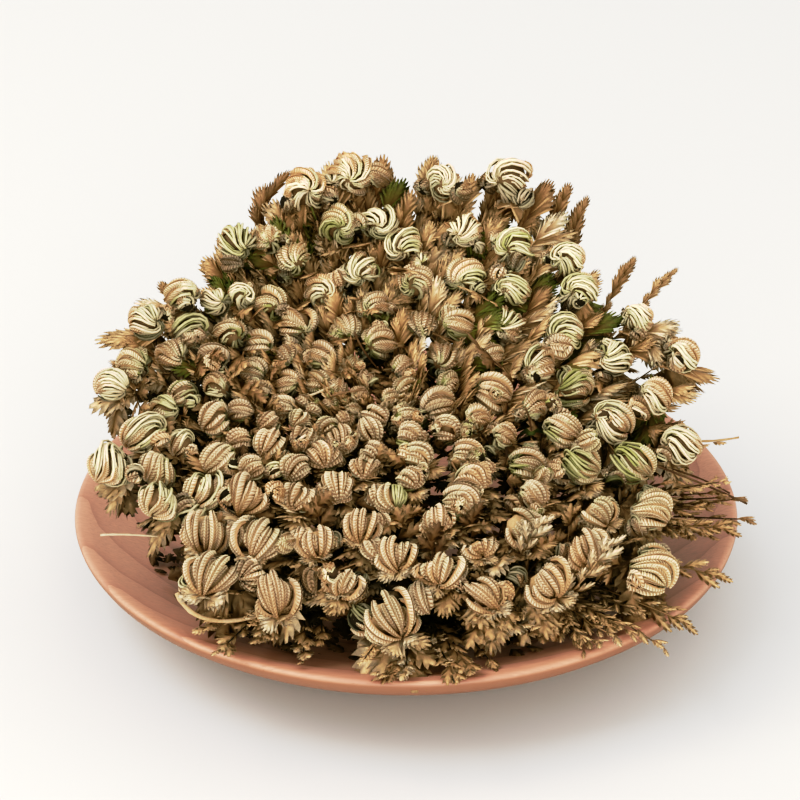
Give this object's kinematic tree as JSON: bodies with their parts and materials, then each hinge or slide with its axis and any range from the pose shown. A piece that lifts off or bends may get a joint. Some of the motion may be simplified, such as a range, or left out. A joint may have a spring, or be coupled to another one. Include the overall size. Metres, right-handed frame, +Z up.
{
  "type": "rose of jericho",
  "caption": "Half-open dried resurrection plant: a low rosette of curled, ribbed frond heads over flat withered fronds, on a root crown in a shallow round dish.",
  "frame": {"origin": "centre of the underside of the dish's foot, on the surface that the dish stands on", "axes": "+Z up, +X to the right and -Y to the front, where the plant is lowest; its high side is at +Y"},
  "size_m": [0.22, 0.2227, 0.1282],
  "materials": {
    "dish_wood": "satin, turned, fine straight grain",
    "crown": "matt, dark, fibrous",
    "heart_frond": "matt, dry, olive green",
    "inner_frond": "matt, dry, green-tan",
    "outer_frond": "matt, dry, pale straw",
    "dry_frond": "matt, dry, brown"
  },
  "bodies": {
    "root": {"wooden_dish": "dish_wood", "root_crown": "crown", "heart_frond_01": "heart_frond", "heart_frond_02": "heart_frond", "heart_frond_03": "heart_frond", "heart_frond_04": "heart_frond", "heart_frond_05": "heart_frond", "heart_frond_06": "heart_frond", "heart_frond_07": "heart_frond", "heart_frond_08": "heart_frond", "heart_frond_09": "heart_frond", "heart_frond_10": "heart_frond", "heart_frond_11": "heart_frond", "heart_frond_12": "heart_frond", "heart_frond_13": "heart_frond", "inner_frond_01": "inner_frond", "inner_frond_02": "inner_frond", "inner_frond_03": "inner_frond", "inner_frond_04": "inner_frond", "inner_frond_05": "inner_frond", "inner_frond_06": "inner_frond", "inner_frond_07": "inner_frond", "inner_frond_08": "inner_frond", "inner_frond_09": "inner_frond", "inner_frond_10": "inner_frond", "inner_frond_11": "inner_frond", "inner_frond_12": "inner_frond", "inner_frond_13": "inner_frond", "outer_frond_01": "outer_frond", "outer_frond_02": "outer_frond", "outer_frond_03": "outer_frond", "outer_frond_04": "outer_frond", "outer_frond_05": "outer_frond", "outer_frond_06": "outer_frond", "outer_frond_07": "outer_frond", "outer_frond_08": "outer_frond", "outer_frond_09": "outer_frond", "outer_frond_10": "outer_frond", "outer_frond_11": "outer_frond", "outer_frond_12": "outer_frond", "outer_frond_13": "outer_frond", "outer_frond_14": "outer_frond", "outer_frond_15": "outer_frond", "outer_frond_16": "outer_frond", "outer_frond_17": "outer_frond", "outer_frond_18": "outer_frond", "outer_frond_19": "outer_frond", "outer_frond_20": "outer_frond", "outer_frond_21": "outer_frond", "dry_frond_01": "dry_frond", "dry_frond_02": "dry_frond", "dry_frond_03": "dry_frond", "dry_frond_04": "dry_frond", "dry_frond_05": "dry_frond", "dry_frond_06": "dry_frond", "dry_frond_07": "dry_frond", "dry_frond_08": "dry_frond", "dry_frond_09": "dry_frond", "dry_frond_10": "dry_frond", "dry_frond_11": "dry_frond"}
  },
  "joints": []
}
